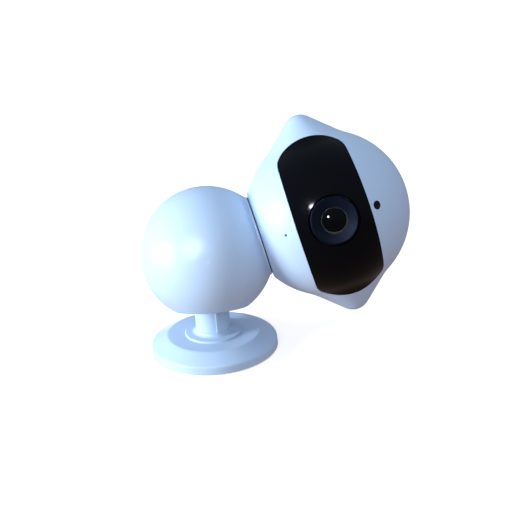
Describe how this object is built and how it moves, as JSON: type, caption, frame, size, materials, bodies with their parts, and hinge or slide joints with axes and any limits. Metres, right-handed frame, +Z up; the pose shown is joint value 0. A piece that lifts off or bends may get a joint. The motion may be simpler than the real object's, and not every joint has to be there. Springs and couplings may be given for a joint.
{
  "type": "baby monitor camera",
  "caption": "Small table camera: a round two-eared head with a dark front window swivels on a ball that pans and tilts on a short weighted stand.",
  "frame": {"origin": "centre of the underside of the foot's rubber pad", "axes": "+Z up along the stem, the lens looks towards -Y and is raised at rest, +X from the ball towards the head"},
  "size_m": [0.1219, 0.074, 0.1031],
  "materials": {
    "white_shell": "satin-gloss moulded white plastic",
    "black_gloss": "polished black, passes infra-red",
    "lens_trim": "dark blue-grey gloss",
    "lens_glass": "coated optical glass",
    "light_lens": "black gloss",
    "rubber": "matt moulded rubber",
    "steel": "turned and stamped steel",
    "bright_screw": "nickel-plated",
    "brass": "turned brass",
    "bearing_plastic": "natural acetal",
    "black_plastic": "fine spark-eroded texture",
    "speaker_paper": "pressed black paper",
    "circuit_board": "green solder mask",
    "chip": "moulded epoxy",
    "led_lens": "smoked clear epoxy",
    "grey_button": "matt grey"
  },
  "bodies": {
    "stand": {"foot_cover": "white_shell", "stem_collar": "white_shell", "stem_tube": "white_shell", "stem_bush": "bearing_plastic", "ballast": "steel", "base_plate": "steel", "rubber_pad": "rubber", "base_screws": "bright_screw"},
    "knuckle": {"pan_spindle": "steel", "pan_washer": "steel", "spindle_nut": "bright_screw", "spring_washer": "steel"},
    "ball": {"ball_front_shell": "white_shell", "ball_rear_shell": "white_shell", "tilt_yoke": "black_plastic", "yoke_screws": "bright_screw", "tilt_screw": "bright_screw", "tilt_nut": "bright_screw", "tilt_washers": "steel", "ball_screws": "bright_screw", "swivel_plate": "black_plastic", "plate_screws": "bright_screw", "glide_ring": "black_plastic", "wave_spring": "steel", "speaker_frame": "black_plastic", "speaker_magnet": "steel", "speaker_cone": "speaker_paper", "power_board": "circuit_board", "usb_socket": "steel"},
    "head": {"head_front_shell": "white_shell", "head_rear_shell": "white_shell", "window": "black_gloss", "lens_trim_ring": "lens_trim", "lens_glass": "lens_glass", "lens_barrel": "black_plastic", "lens_holder": "black_plastic", "image_sensor": "chip", "sensor_board": "circuit_board", "ir_board": "circuit_board", "ir_leds": "led_lens", "inner_chassis": "black_plastic", "chassis_screws": "bright_screw", "main_board": "circuit_board", "board_spacers": "brass", "main_board_screws": "bright_screw", "board_chips": "chip", "mic_capsule": "steel", "mic_boot": "rubber", "light_window": "light_lens", "light_sensor": "chip", "io_board": "circuit_board", "card_socket": "steel", "reset_switch": "black_plastic", "head_screws": "bright_screw", "swivel_hub": "steel", "hub_screws": "bright_screw", "swivel_nut": "steel"},
    "card": {"memory_card": "chip"},
    "button": {"reset_button": "grey_button"}
  },
  "joints": [
    {"name": "pan", "type": "hinge", "parent": "stand", "child": "knuckle", "pos_m": [0, 0, 0.035], "axis": [0, 0, 1], "continuous": true},
    {"name": "tilt", "type": "hinge", "parent": "knuckle", "child": "ball", "pos_m": [0, 0, 0.047], "axis": [-1, 0, 0], "range_deg": [-33, 2]},
    {"name": "head_swivel", "type": "hinge", "parent": "ball", "child": "head", "pos_m": [0.0244, 0.00159, 0.05269], "axis": [0.972, 0.0632, 0.2265], "range_deg": [-150, 150]},
    {"name": "card_slide", "type": "slide", "parent": "head", "child": "card", "axis": [0, 0.9632, -0.2689], "range_m": [0, 0.012]},
    {"name": "reset_press", "type": "slide", "parent": "head", "child": "button", "axis": [0, -0.9632, 0.2689], "range_m": [0, 0.0006], "stiffness_N_per_m": 500, "springref_m": -0.0004}
  ]
}
